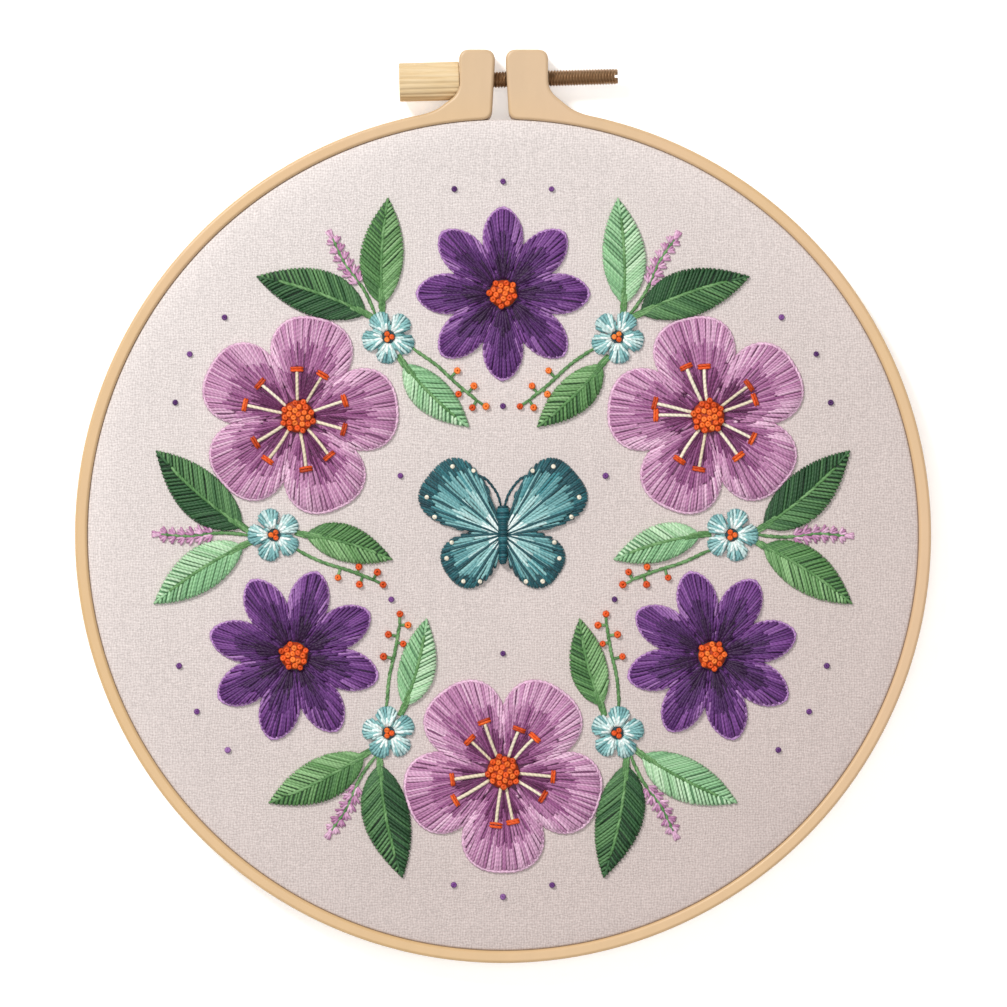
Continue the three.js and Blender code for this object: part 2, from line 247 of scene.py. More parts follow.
def linen():
    """Plain weave of uneven threads with slubs, pulled flat at the hoop, with painted shade where the threads
    dip, and painted light: paler to the upper left, darker and more saturated to the lower right, with a
    painted highlight along the hoop to the upper left and painted shade along it to the lower right.
    """
    surface = Surface("linen_weave", Roughness=0.9, Specular_IOR_Level=0.15, Sheen_Weight=0.2)
    x, y, _ = surface.split(surface.place)
    half_turns = math.pi / (WEAVE_PITCH * MM)

    def wave(along, wander_scale):
        """Rows of threads side by side, none of them quite straight."""
        wander = surface.span(surface.noise(wander_scale), 0, 1, -4, 4)
        return surface.math("SINE", surface.math("MULTIPLY_ADD", along, half_turns, wander))

    warp_wave, weft_wave = wave(x, 330), wave(y, 410)
    over = surface.math("MULTIPLY", warp_wave, weft_wave)

    def thread(wave, lift):
        """A thread's rounded back, which rises and dips as it crosses the others."""
        back = surface.math("POWER", surface.math("ABSOLUTE", wave), 0.6)
        return surface.math("MULTIPLY", back, surface.math("MULTIPLY_ADD", over, lift, 0.58))

    woven = surface.math("MAXIMUM", thread(warp_wave, 0.42), thread(weft_wave, -0.42))
    warp_slubs = surface.noise((900, 22, 1), 3, 0.6)
    weft_slubs = surface.noise((40, 1400, 1), 2, 0.6)
    pebbles, clouds = surface.noise(2100, 1), surface.noise(26, 4)
    # Painted shade: the linen darker where its threads dip under the crossing ones.
    colour = surface.ramp(woven, {0.15: (190, 179, 176), 0.55: (206, 197, 195), 1: (216, 208, 205)})
    for pattern, spread in ((warp_slubs, 0.02), (weft_slubs, 0.01), (clouds, 0.03)):
        colour = surface.varied(colour, pattern, 1 - spread, 1 + spread, 0.25, 0.75)
    colour = surface.varied(colour, pebbles, 0.88, 1.12)
    # Painted light: the linen paler to the upper left and darker and more saturated to the lower right, and
    # along the hoop a painted highlight to the upper left and painted shade to the lower right.
    diagonal = surface.math("SUBTRACT", surface.math("MULTIPLY", x, 0.75), y)

    def painted_light(upper_left, lower_right):
        return surface.span(diagonal, -0.13, 0.13, upper_left, lower_right)

    from_centre = surface.distance(Vector((*CENTRE, LINEN_FACE)) * MM)
    painted_rim_band = surface.span(from_centre, 0.094, 0.098)
    colour = surface.lightness(colour, surface.math("MULTIPLY_ADD", painted_rim_band, painted_light(0.06, -0.04), 1))
    colour = surface.lightness(colour, painted_light(1.085, 0.85), painted_light(0.8, 1.6))
    slubs = surface.math("ADD", warp_slubs, weft_slubs)
    height = surface.math("MULTIPLY_ADD", slubs, 0.25, surface.math("ADD", woven, pebbles))
    height = surface.math("MULTIPLY", height, surface.span(from_centre, 0.088, 0.097, 1, 0.3))
    return surface.finish(Base_Color=colour, Normal=surface.bump(height, 0.16 * MM, 0.5))


def hoop_plastic():
    """Smooth peach-beige plastic with a faint moulded grain, a little darker and greyer at the lugs: painted
    shade against the stronger light they get.
    """
    surface = Surface("hoop_plastic", Specular_IOR_Level=0.5, Coat_Weight=0.12, Coat_Roughness=0.3)
    _, y, _ = surface.split(surface.place)
    broad = surface.noise(14)
    grain = surface.noise((260, 90, 260), 4, 0.6)
    fine = surface.noise(1500, 2)
    colour = surface.ramp(broad, {0.3: (205, 170, 122), 0.5: (206, 172, 128), 0.7: (207, 173, 135)})
    colour = surface.varied(colour, grain, 0.975, 1.02)
    # Painted shade: the lugs darker and greyer, against the stronger light they get.
    value, saturation = (surface.span(y, 0.086, 0.1, 1, lug_shade) for lug_shade in (0.93, 0.9))
    colour = surface.lightness(colour, value, saturation)
    height = surface.math("MULTIPLY_ADD", fine, 0.6, grain)
    bump, roughness = surface.bump(height, 0.03 * MM, 0.5), surface.span(broad, 0.2, 0.8, 0.36, 0.48)
    return surface.finish(Base_Color=colour, Normal=bump, Roughness=roughness)


def knob_wood():
    """Pale bare wood, its grain along the knob."""
    surface = Surface("knob_wood", Roughness=0.62, Specular_IOR_Level=0.3)
    grain = surface.noise((60, 1500, 1500), 4, 0.65)
    flecks = surface.noise((300, 4200, 4200), 2, 0.6)
    colour = surface.ramp(grain, {0.3: (200, 170, 126), 0.48: (212, 187, 146), 0.7: (222, 200, 163)})
    colour = surface.varied(colour, flecks, 0.95, 1.04)
    height = surface.math("MULTIPLY_ADD", flecks, 0.5, grain)
    return surface.finish(Base_Color=colour, Normal=surface.bump(height, 0.05 * MM, 0.6))


def bronzed_steel():
    """Bronze-brown plating, with painted shade that darkens it down in the thread's grooves, whose depth the
    attribute holds.
    """
    surface = Surface("bronzed_steel", Metallic=0.85)
    groove, _, _ = surface.attribute("groove")
    mottle = surface.noise(900, 4)
    # Painted shade: near black at the bottom of the thread's grooves.
    colour = surface.ramp(groove, {0: (152, 122, 92), 0.22: (86, 64, 43), 0.55: (20, 13, 8)})
    colour = surface.varied(colour, mottle, 0.92, 1.06)
    bump, roughness = surface.bump(mottle, 0.02 * MM, 0.5), surface.span(mottle, 0.3, 0.7, 0.34, 0.5)
    return surface.finish(Base_Color=colour, Normal=bump, Roughness=roughness)


def floor_paper():
    """White paper lit a little from beneath, which keeps the shadows on it faint."""
    glow = dict(Emission_Color=(1, 1, 1, 1), Emission_Strength=0.36)
    surface = Surface("floor_paper", Roughness=0.9, Specular_IOR_Level=0.1, **glow)
    colour = surface.ramp(surface.noise(240), {0.3: (249, 249, 249), 0.7: (252, 252, 252)})
    return surface.finish(Base_Color=colour)


# Each dye's slot in the record, and its threads from the darkest to the lightest.
DYES = dict(
    lilac=("lilac_thread", {0: (88, 30, 74), 0.3: (140, 76, 126), 0.62: (186, 132, 170), 1: (226, 188, 212)}),
    violet=("violet_thread", {0: (44, 16, 54), 0.35: (80, 38, 100), 0.7: (118, 66, 138), 1: (184, 140, 196)}),
    deep=("deep_green_thread", {0: (24, 50, 32), 0.45: (48, 88, 54), 1: (104, 148, 96)}),
    mid=("mid_green_thread", {0: (44, 82, 50), 0.45: (88, 134, 78), 1: (150, 190, 136)}),
    pale=("pale_green_thread", {0: (88, 140, 96), 0.45: (142, 190, 142), 1: (204, 230, 198)}),
    aqua=("aqua_thread", {0: (18, 60, 70), 0.4: (48, 120, 128), 0.75: (140, 190, 190), 1: (232, 244, 242)}),
    teal=("teal_thread", {0: (12, 44, 54), 0.5: (28, 84, 94), 1: (70, 140, 148)}),
    amber=("amber_thread", {0: (150, 42, 12), 0.5: (226, 84, 24), 1: (252, 146, 60)}),
    cream=("linen", {0: (196, 178, 146), 0.5: (230, 218, 192), 1: (248, 242, 226)}),
)
FLOSSES = {dye: floss(f"{dye}_floss", stops) for dye, (_, stops) in DYES.items()}

# ---- Meshes and pieces ----

SHARP_ANGLE = 40  # degrees, past which an edge is shaded crisp


def add_object(data):
    item = bpy.data.objects.new(data.name, data)
    bpy.context.scene.collection.objects.link(item)
    return item


def piece_of(mesh, body, slot, material, *nodes):
    """The object of a mesh, given its finish, its body and the nodes that it stands for."""
    mesh.materials.append(material)
    piece = add_object(mesh)
    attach(piece, body)
    if nodes:
        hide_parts(*nodes)
    return piece


def faced(name, points, faces, sharp=SHARP_ANGLE):
    """A mesh of points in metres, with its faces turned outward and its corners kept crisp."""
    mesh = bpy.data.meshes.new(name)
    mesh.from_pydata(points.tolist(), [], faces)
    shell = bmesh.new()
    shell.from_mesh(mesh)
    bmesh.ops.recalc_face_normals(shell, faces=shell.faces)
    shell.to_mesh(mesh)
    shell.free()
    mesh.shade_smooth()
    mesh.set_sharp_from_angle(angle=math.radians(sharp))
    return mesh


def in_frame(points):
    """Points in millimetres from the hoop's centre and the resting surface, as metres in the row frame."""
    return (np.asarray(points) + (*CENTRE, 0)) * MM


def ring_quads(rows, around, loop=False):
    """The quads between rings of points, each joined to the next, and the last to the first in a loop."""
    row = np.arange(rows if loop else rows - 1)[:, None]
    i = np.arange(around)[None, :]
    j = (i + 1) % around
    below, above = row * around, (row + 1) % rows * around
    return np.stack([below + i, above + i, above + j, below + j], axis=-1).reshape(-1, 4).tolist()


def capped(rows, around):
    """The same quads with a face over the first ring and one over the last."""
    last = (rows - 1) * around
    return ring_quads(rows, around) + [list(range(around)), list(range(last, last + around))]


def turned(profile, steps):
    """Rings of points round Z, one for each height and its radius, or its radii from point to point."""
    angle = 2 * np.pi * np.arange(steps) / steps
    cosine, sine, level = np.cos(angle), np.sin(angle), np.ones(steps)
    return np.array([np.column_stack([r * cosine, r * sine, height * level]) for r, height in profile])


def polar(reach, degrees):
    """Points a distance from the middle, at angles from X."""
    angle = np.radians(degrees)
    return np.stack(np.broadcast_arrays(reach * np.cos(angle), reach * np.sin(angle)), axis=-1)


def unit(vectors):
    return vectors / np.linalg.norm(vectors, axis=-1, keepdims=True)


def leftward(vectors):
    """Flat vectors turned a quarter to the left."""
    return np.stack([-vectors[..., 1], vectors[..., 0]], axis=-1)


def between(wanted, known, points):
    """Points at the wanted values, from points at known ones."""
    return np.stack([np.interp(wanted, known, side) for side in points.T], axis=-1)


def arc(centre, radius, start, end, steps=6):
    """Profile points of an arc, between two angles in degrees."""
    return centre + polar(radius, np.linspace(start, end, steps + 1))


# ---- Hoops ----


def bend(start, corner, end, steps=8):
    """A rounded corner of the outline, drawn from one point to another towards the corner between them."""
    share = np.linspace(0, 1, steps + 1)[:, None]
    start, corner, end = (np.array(point, float) for point in (start, corner, end))
    return list((1 - share) ** 2 * start + 2 * share * (1 - share) * corner + share**2 * end)


def on_ring(x, radius):
    return np.array([x, math.sqrt(radius**2 - x**2)])


def lug_outline(split_top, split_foot, face, flare_top, flare_foot):
    """One lug from the ring's inner wall up the split, over the top and down the flare into the ring."""
    away, below = math.copysign(LUG_CORNER, face), LUG_TOP - LUG_CORNER
    foot = on_ring(split_foot, OPENING_RADIUS)
    corner, end = np.array([face, flare_top]), on_ring(flare_foot, OUTER_RADIUS)
    flare = end - corner
    return [
        *bend(on_ring(split_foot + away, OPENING_RADIUS), foot, foot + (0, LUG_CORNER)),
        *bend((split_top, below), (split_top, LUG_TOP), (split_top + away, LUG_TOP)),
        *bend((face - away, LUG_TOP), (face, LUG_TOP), (face, below)),
        *bend(corner + (0, LUG_CORNER), corner, corner + 0.3 * flare),
        *bend(corner + 0.7 * flare, end, on_ring(flare_foot + 1.6 * away, OUTER_RADIUS)),
    ]


def round_ring(start, end, steps=360):
    """The points between two others on a circle about the hoop's centre, the long way round."""
    first, last = (math.degrees(math.atan2(point[1], point[0])) for point in (start, end))
    sweep = last - first - math.copysign(360, last - first)
    return polar(math.hypot(*start), first + sweep * np.arange(1, steps) / steps)


def inset(outline, distance):
    """A closed outline moved in by a distance along its own normals."""
    steps = (outline - np.roll(outline, 1, axis=0), np.roll(outline, -1, axis=0) - outline)
    middle = sum(unit(leftward(step)) for step in steps)
    return outline + distance * 2 * middle / (middle**2).sum(axis=1, keepdims=True)


def on_screw(points):
    """Points measured across the screw's axis, up, and along it, as metres in the row frame."""
    axes = np.stack([np.cross((0, 0, 1), SCREW_AXIS), (0, 0, 1), SCREW_AXIS])
    return in_frame(np.reshape(points, (-1, 3)) @ axes + (*SCREW_AT, HOOP_DEPTH / 2))


def screw_bar(radius, start, end, sides=64):
    """A cutter round the screw's own axis."""
    return faced("cutter", on_screw(turned([(radius, start), (radius, end)], sides)), capped(2, sides))


def cut(mesh, *cutters):
    """The mesh with each cutter's shape taken away."""
    whole = add_object(mesh)
    tools = [add_object(cutter) for cutter in cutters]
    for tool in tools:
        modifier = whole.modifiers.new("cut", "BOOLEAN")
        modifier.operation, modifier.solver, modifier.object = "DIFFERENCE", "EXACT", tool
    depsgraph = bpy.context.evaluated_depsgraph_get()
    result = bpy.data.meshes.new_from_object(whole.evaluated_get(depsgraph))
    name = mesh.name
    for leftover in (mesh, *cutters):
        bpy.data.meshes.remove(leftover)  # and the object that holds it
    result.name = name
    return result


def outer_hoop():
    """The split ring and its lugs in one: rounded in front, eased behind, bored for the screw."""
    left, right = (lug_outline(**lug) for lug in LUGS)
    inner_wall, outer_wall = round_ring(right[0], left[0]), round_ring(left[-1], right[-1])
    outline = np.array([*inner_wall, *left, *outer_wall, *right[::-1]])
    depths_and_heights = [
        (BACK_ROUND + 0.05, 0),
        *arc((BACK_ROUND, BACK_ROUND), BACK_ROUND, 270, 180, 3),
        *arc((FRONT_ROUND, HOOP_DEPTH - FRONT_ROUND), FRONT_ROUND, 180, 90),
        (FRONT_ROUND + 0.05, HOOP_DEPTH),
    ]
    level = np.ones(len(outline))
    rings = [np.column_stack([inset(outline, depth), height * level]) for depth, height in depths_and_heights]
    block = faced("ring_and_lugs", in_frame(np.concatenate(rings)), capped(len(rings), len(outline)))
    bore = screw_bar(SCREW["radius"] + SEAT_GAP, KNOB["end"] - 1, SCREW["end"])
    pocket = screw_bar(KNOB["radius"] + SEAT_GAP, KNOB["start"], KNOB["end"] + KNOB["seat"])
    bored = cut(block, bore, pocket)
    bored.set_sharp_from_angle(angle=math.radians(SHARP_ANGLE))
    return bored


INNER_OUTSIDE = OPENING_RADIUS - 2 * SEAT_GAP - LINEN_THICKNESS
BEND_CENTRE = (INNER_OUTSIDE - INNER_ROUND, LINEN_FACE - LINEN_THICKNESS - SEAT_GAP - INNER_ROUND)


def inner_hoop():
    wall = INNER_OUTSIDE - INNER_WALL
    profile = [
        *arc((wall + BACK_ROUND, BACK_ROUND), BACK_ROUND, 180, 270, 3),
        *arc((INNER_OUTSIDE - BACK_ROUND, BACK_ROUND), BACK_ROUND, 270, 360, 3),
        *arc(BEND_CENTRE, INNER_ROUND, 0, 90),
        *arc((wall + INNER_ROUND, BEND_CENTRE[1]), INNER_ROUND, 90, 180),
    ]
    steps = 360
    rings = turned(profile, steps).reshape(-1, 3)
    return faced("inner_ring", in_frame(rings), ring_quads(len(profile), steps, loop=True))


# ---- Linen ----

BEND_OVER = INNER_ROUND + SEAT_GAP + LINEN_THICKNESS
PRESSED_RADIUS = OPENING_RADIUS - 0.04  # of the linen's outer face between the hoops
CREASE = 0.7  # radius of the linen's outer face where it turns down
PUCKERS = [dict(width=26, height=0.12, seed=3.1), dict(width=7, height=0.06, seed=8.4)]


def puckers(x, y):
    """How far the stitching and the stretch draw the flat linen up or down."""
    return sum(p["height"] * noise.noise((x / p["width"], y / p["width"], p["seed"])) for p in PUCKERS)


def linen_sheet():
    """The linen in one piece: flat across the inner hoop, bent over its edge and down between the hoops."""
    flat = np.linspace(BEND_CENTRE[0], 1, 64)
    skirt = np.linspace(BEND_CENTRE[1], LINEN_HEM, 5)[1:]
    inside = BEND_OVER - LINEN_THICKNESS
    profile = [
        *[(radius, LINEN_FACE - LINEN_THICKNESS) for radius in flat[:0:-1]],
        *arc(BEND_CENTRE, inside, 90, 0),
        *[(BEND_CENTRE[0] + inside, height) for height in skirt],
        *[(PRESSED_RADIUS, height) for height in skirt[::-1]],
        *arc((PRESSED_RADIUS - CREASE, LINEN_FACE - CREASE), CREASE, 0, 90),
        *[(radius, LINEN_FACE) for radius in flat[1:]],
    ]
    steps = 240
    points = turned(profile, steps).reshape(-1, 3)
    for point in points:
        from_bend = BEND_CENTRE[0] - math.hypot(*point[:2])
        point[2] += min(1, max(0, (from_bend - 1) / 8)) * puckers(*point[:2])
    return faced("linen_sheet", in_frame(points), capped(len(profile), steps))


# ---- Knob and screw ----


def slot_bar():
    """A cutter for the slot across the screw's free end."""
    half, reach = SLOT["width"] / 2, 1.5 * SCREW["radius"]
    corners = [(-half, -reach), (half, -reach), (half, reach), (-half, reach)]
    ends = (SCREW["end"] - SLOT["depth"], SCREW["end"] + SLOT["depth"])
    return faced("cutter", on_screw([(*corner, end) for end in ends for corner in corners]), capped(2, 4))


def screw():
    """A true helical thread where it shows, tapered in at its free end, with a slot across it."""
    sides, rows_per_pitch = 32, 8
    places, threaded = [SCREW["start"]], [0]
    for start, end in THREADED:
        count = round((end - start) / SCREW["pitch"] * rows_per_pitch)
        places += [start - 0.1, *np.linspace(start, end, count + 1), end + 0.1]
        threaded += [0, *[1] * (count + 1), 0]
    places.append(SCREW["end"])
    threaded.append(0)
    places, threaded = np.array(places)[:, None], np.array(threaded)[:, None]
    phase = (places / SCREW["pitch"] + np.arange(sides) / sides) % 1
    slope, crest = 1.25, 0.1  # of the groove's walls, and of the flat between two grooves
    groove = threaded * np.clip(slope * (1 - np.abs(2 * phase - 1)) - crest, 0, 1)
    taper = np.clip((places - SCREW["end"]) / SCREW["lead"] + 1, 0, 1)
    radius = SCREW["radius"] - SCREW["depth"] * np.maximum(groove, taper)
    points = on_screw(turned(zip(radius, places), sides))
    mesh = faced("threaded_screw", points, capped(len(places), sides), sharp=60)
    shades = np.zeros((len(points), 3), np.float32)
    shades[:, 0] = groove.ravel()
    mesh.attributes.new("groove", "FLOAT_VECTOR", "POINT").data.foreach_set("vector", shades.ravel())
    return cut(mesh, slot_bar())


def knob():
    """The fluted grip, chamfered at both ends and bored from one for the screw."""
    sides = 8 * KNOB["flutes"]
    start, end, (crisp, eased) = KNOB["start"], KNOB["end"], KNOB["chamfers"]
    angle = 2 * np.pi * np.arange(sides) / sides
    grip = KNOB["radius"] - KNOB["depth"] * (0.5 - 0.5 * np.cos(KNOB["flutes"] * angle)) ** 2
    bore = np.full(sides, SCREW["radius"] + 0.05)
    profile = [
        (grip - crisp, start),
        (grip, start + crisp),
        *[(grip, place) for place in np.linspace(start + 1.5, end - 1.5, 12)],
        (grip, end - eased - 0.2),
        (grip - 0.06, end - eased),
        (grip - eased, end - 0.08),
        (grip - eased - 0.1, end),
        (bore + 0.1, end),
        (bore, end - 0.1),
        (bore, SCREW["start"]),
    ]
    return faced("fluted_knob", on_screw(turned(profile, sides)), capped(len(profile), sides))


# ---- Laying threads ----


def rotation(degrees):
    angle = math.radians(degrees)
    return np.array([[math.cos(angle), -math.sin(angle)], [math.sin(angle), math.cos(angle)]])


class Place:
    """Where a motif lies on the linen: turned by degrees and then shifted, inside another place if given."""

    def __init__(self, turn=0, shift=(0, 0), within=None):
        shift = np.array(shift, float)
        self.turn = turn + within.turn if within else turn
        self.shift = within.carry(shift) if within else shift

    def carry(self, points):
        moved = np.array(points, float)
        moved[..., :2] = moved[..., :2] @ rotation(self.turn).T + self.shift
        return moved


def in_third(third, angle=0):
    """A place at the hoop's centre that looks outward at an angle in one third of the wreath."""
    return Place(WREATH_START + 360 / THIRDS * third + angle)


def on_spoke(motif, third):
    """A motif's place at its angle and reach in one third of the wreath."""
    return Place(motif.get("heading", 0) - 90, (motif["reach"], 0), in_third(third, motif["at"]))


TAPER = np.array([0.4, 0.9, 1])  # of a thread's width, from its end inwards
SQUASH = 0.82  # a laid thread's height against its width
UNEVEN = dict(height=0.02, width=0.05, lightness=0.2)  # how far threads differ from each other
# Painted shade: the lightness of the padding, which shows dark between the threads.
SHADE_PAD_LIGHTNESS = 0.4
PAD_FOOT = -0.2  # how far the padding reaches into the linen
STRIP_SHAPE = 8  # length against height of each thread's strip in its piece's map
STRIP_MARGIN = 0.06


class Stitching:
    """The closed thread tubes of one piece, in millimetres with 0 at the linen's face."""

    def __init__(self):
        self.points, self.dyes, self.rounds, self.faces, self.maps = [], [], [], [], []
        self.point_count = self.strand_count = 0

    def add(self, points, dyes, rounds):
        """Closed tubes, from their points as an array of tubes × rings × points round × 3."""
        count, rows, around, _ = points.shape
        ring, side = self.corners(rows, around)
        strand = np.arange(count)[:, None, None]
        faces = self.point_count + (strand * rows + ring) * around + side % around
        maps = np.broadcast_arrays(self.strand_count + strand, ring / (rows - 1), side / around)
        self.faces.append(faces.reshape(-1, 4))
        self.maps.append(np.stack(maps, axis=-1).reshape(-1, 3))
        self.points.append(points.reshape(-1, 3))
        self.dyes.append(dyes.reshape(-1, 3))
        self.rounds.append(rounds.reshape(-1, 3))
        self.point_count += points.size // 3
        self.strand_count += count

    @staticmethod
    def corners(rows, around):
        """The ring and the side of each corner of one tube's quads, round its walls and over its ends."""
        ring = np.arange(rows - 1)[:, None, None] + np.array([0, 1, 1, 0])
        side = np.arange(around)[:, None] + np.array([0, 0, 1, 1])
        walls = [corners.reshape(-1, 4) for corners in np.broadcast_arrays(ring, side)]
        end = np.array([[0, first, first + 1, first + 2] for first in range(1, around - 2, 2)])
        rings = np.concatenate([walls[0], 0 * end, 0 * end + rows - 1])
        return rings, np.concatenate([walls[1], end, end[:, ::-1]])

    def lay(self, place, paths, tone, half_width=FLOSS):
        """Threads along paths, an array of threads × samples × 3, each of one tone from 0 to 1."""
        paths = place.carry(paths)
        count, rows, _ = paths.shape
        paths[..., 2] += rng.normal(0, UNEVEN["height"], (count, 1))
        way = unit(np.gradient(paths, axis=1))
        side = unit(np.cross(way, (0, 0, 1)))
        up = np.cross(side, way)
        taper = np.ones(rows)
        taper[:3], taper[-3:] = TAPER, TAPER[::-1]
        width = (half_width * taper * rng.normal(1, UNEVEN["width"], (count, 1)))[..., None, None]
        angle = (2 * np.pi * np.arange(TUBE_SIDES) / TUBE_SIDES)[:, None]
        ring = np.cos(angle) * side[:, :, None] + SQUASH * np.sin(angle) * up[:, :, None]
        points = paths[:, :, None] + width * ring
        steps = np.linalg.norm(np.diff(paths, axis=1), axis=-1)
        along = np.cumsum(np.hstack([rng.uniform(0, PLY_PITCH, (count, 1)), steps]), axis=1)
        tone = np.clip(np.broadcast_to(tone, count), 0, 1)[:, None, None]
        own = np.clip(rng.normal(0.5, UNEVEN["lightness"], (count, 1, 1)), 0, 1)
        level = np.zeros((count, rows, TUBE_SIDES))
        dyes = np.stack([level + tone, level + own, level + along[..., None]], axis=-1)
        rounds = np.stack([level + np.cos(angle[:, 0]), level + np.sin(angle[:, 0]), level], axis=-1)
        self.add(points, dyes, rounds)

    def pad(self, place, rings, tone):
        """Padding under the threads, its dark tone painted shade that shows between them: rings of points,
        clockwise seen from the side that they rise to.
        """
        dyes = np.broadcast_to((tone, SHADE_PAD_LIGHTNESS, 0), rings.shape)
        self.add(place.carry(rings)[None], dyes, np.zeros(rings.shape))

    def piece(self, name, dye, *nodes):
        """The mesh of what was laid, with a map that gives each thread a strip of its own."""
        points = (np.concatenate(self.points) + (*CENTRE, LINEN_FACE)) * MM
        mesh = bpy.data.meshes.new(name)
        mesh.from_pydata(points.tolist(), [], np.concatenate(self.faces).tolist())
        for key, values in (("dye", self.dyes), ("round", self.rounds)):
            attribute = mesh.attributes.new(key, "FLOAT_VECTOR", "POINT")
            attribute.data.foreach_set("vector", np.concatenate(values).astype(np.float32).ravel())
        strand, along, turn = np.concatenate(self.maps).T
        columns = max(1, round(math.sqrt(self.strand_count / STRIP_SHAPE)))
        rows = math.ceil(self.strand_count / columns)
        along, turn = (STRIP_MARGIN + (1 - 2 * STRIP_MARGIN) * share for share in (along, turn))
        u, v = (strand % columns + along) / columns, (strand // columns + turn) / rows
        layer = mesh.uv_layers.new(name="OFBake")
        layer.uv.foreach_set("vector", np.column_stack([u, v]).astype(np.float32).ravel())
        mesh.shade_smooth()
        slot, _ = DYES[dye]
        return piece_of(mesh, HOOP_BODY, slot, FLOSSES[dye], *nodes)


def on_linen(points):
    return np.zeros(points.shape[:-1])


def straight(starts, ends, height=on_linen, lift=0.3, sink=(0.6, 0.6), bow=0.02):
    """Paths of straight stitches over a surface, with each end drawn down by its sink."""
    starts, ends = np.atleast_2d(starts), np.atleast_2d(ends)
    way = ends - starts
    length = np.linalg.norm(way, axis=1)
    near, far = np.minimum(0.22, 0.1 * length) / length, np.minimum(0.65, 0.26 * length) / length
    first_half = np.stack([0 * near, near, far, np.full(len(way), 1 / 3)], axis=1)
    share = np.hstack([first_half, 1 - first_half[:, ::-1]])
    bulge = bow * rng.normal(0, 1, (len(way), 1)) * 4 * share * (1 - share)
    flat = starts[:, None] + share[..., None] * way[:, None] + bulge[..., None] * leftward(way)[:, None]
    dip = np.array([1, 0.45, 0.06, 0, 0, 0, 0, 0])
    return np.dstack([flat, height(flat) + lift - sink[0] * dip - sink[1] * dip[::-1]])


class Curve:
    """A line of points followed by its length, smoothed through them unless they already lie close."""

    def __init__(self, points, smooth=True):
        points = np.array(points, float)
        if smooth:
            padded = np.vstack([2 * points[0] - points[1], points, 2 * points[-1] - points[-2]])
            spans = [self.span(*padded[i : i + 4]) for i in range(len(points) - 1)]
            points = np.vstack([*spans, points[-1:]])
        self.points = points
        steps = np.linalg.norm(np.diff(points, axis=0), axis=1)
        self.along = np.concatenate([[0], np.cumsum(steps)])
        self.length = self.along[-1]

    @staticmethod
    def span(before, start, end, after, steps=16):
        """One span of a Catmull-Rom curve."""
        t = np.arange(steps)[:, None] / steps
        straight_part = (end - before) * t + (2 * before - 5 * start + 4 * end - after) * t**2
        return start + 0.5 * (straight_part + (3 * (start - end) + after - before) * t**3)

    def at(self, distance):
        return between(distance, self.along, self.points)

    def beside(self, distance, offset):
        """Points a distance along and an offset to the left of it."""
        left = leftward(unit(self.at(distance + 0.2) - self.at(distance - 0.2)))
        return self.at(distance) + np.asarray(offset)[..., None] * left


def stem_stitch(curve, stitch=3.4, offset=0.0, height=on_linen, lift=0.28, sink=0.5):
    """Paths of stitches along a curve, each starting beside the middle of the one before."""
    starts = np.arange(0, curve.length - 0.4 * stitch, stitch / 2)
    share = np.array([0, 0.06, 0.18, 0.38, 0.62, 0.82, 0.94, 1])
    lengths = stitch * rng.normal(1, 0.05, (len(starts), 1))
    distance = np.minimum(starts[:, None] + share * lengths, curve.length - 0.05 + 0.05 * share)
    slant = np.broadcast_to(offset + 0.2 * (1 - 2 * share), distance.shape)
    flat = curve.beside(distance, slant)
    dip = np.array([1, 0.45, 0.08, 0, 0, 0.08, 0.45, 1])
    return np.dstack([flat, height(flat) + lift - sink * dip])


def french_knots(centres, base=0.0, size=0.5, turns=2.1):
    """Paths of thread coiled round and drawn down through its own middle."""
    centres = np.atleast_2d(centres)
    count = len(centres)
    share = np.linspace(0, 1, 18)
    angle = rng.uniform(0, 2 * np.pi, (count, 1)) + 2 * np.pi * turns * share
    spread = np.where(share > 0.93, 0.35, 1 - 0.3 * share)
    radius = size * spread * rng.normal(1, 0.06, (count, 1))
    climb = 2 * size * np.interp(share, [0, 0.12, 0.85, 1], [-0.1, 0.2, 0.72, 0.35])
    flat = centres[:, None] + np.stack([radius * np.cos(angle), radius * np.sin(angle)], axis=-1)
    return np.dstack([flat, np.broadcast_to(base, count)[:, None] + climb])


# ---- Petals, leaves and wings ----


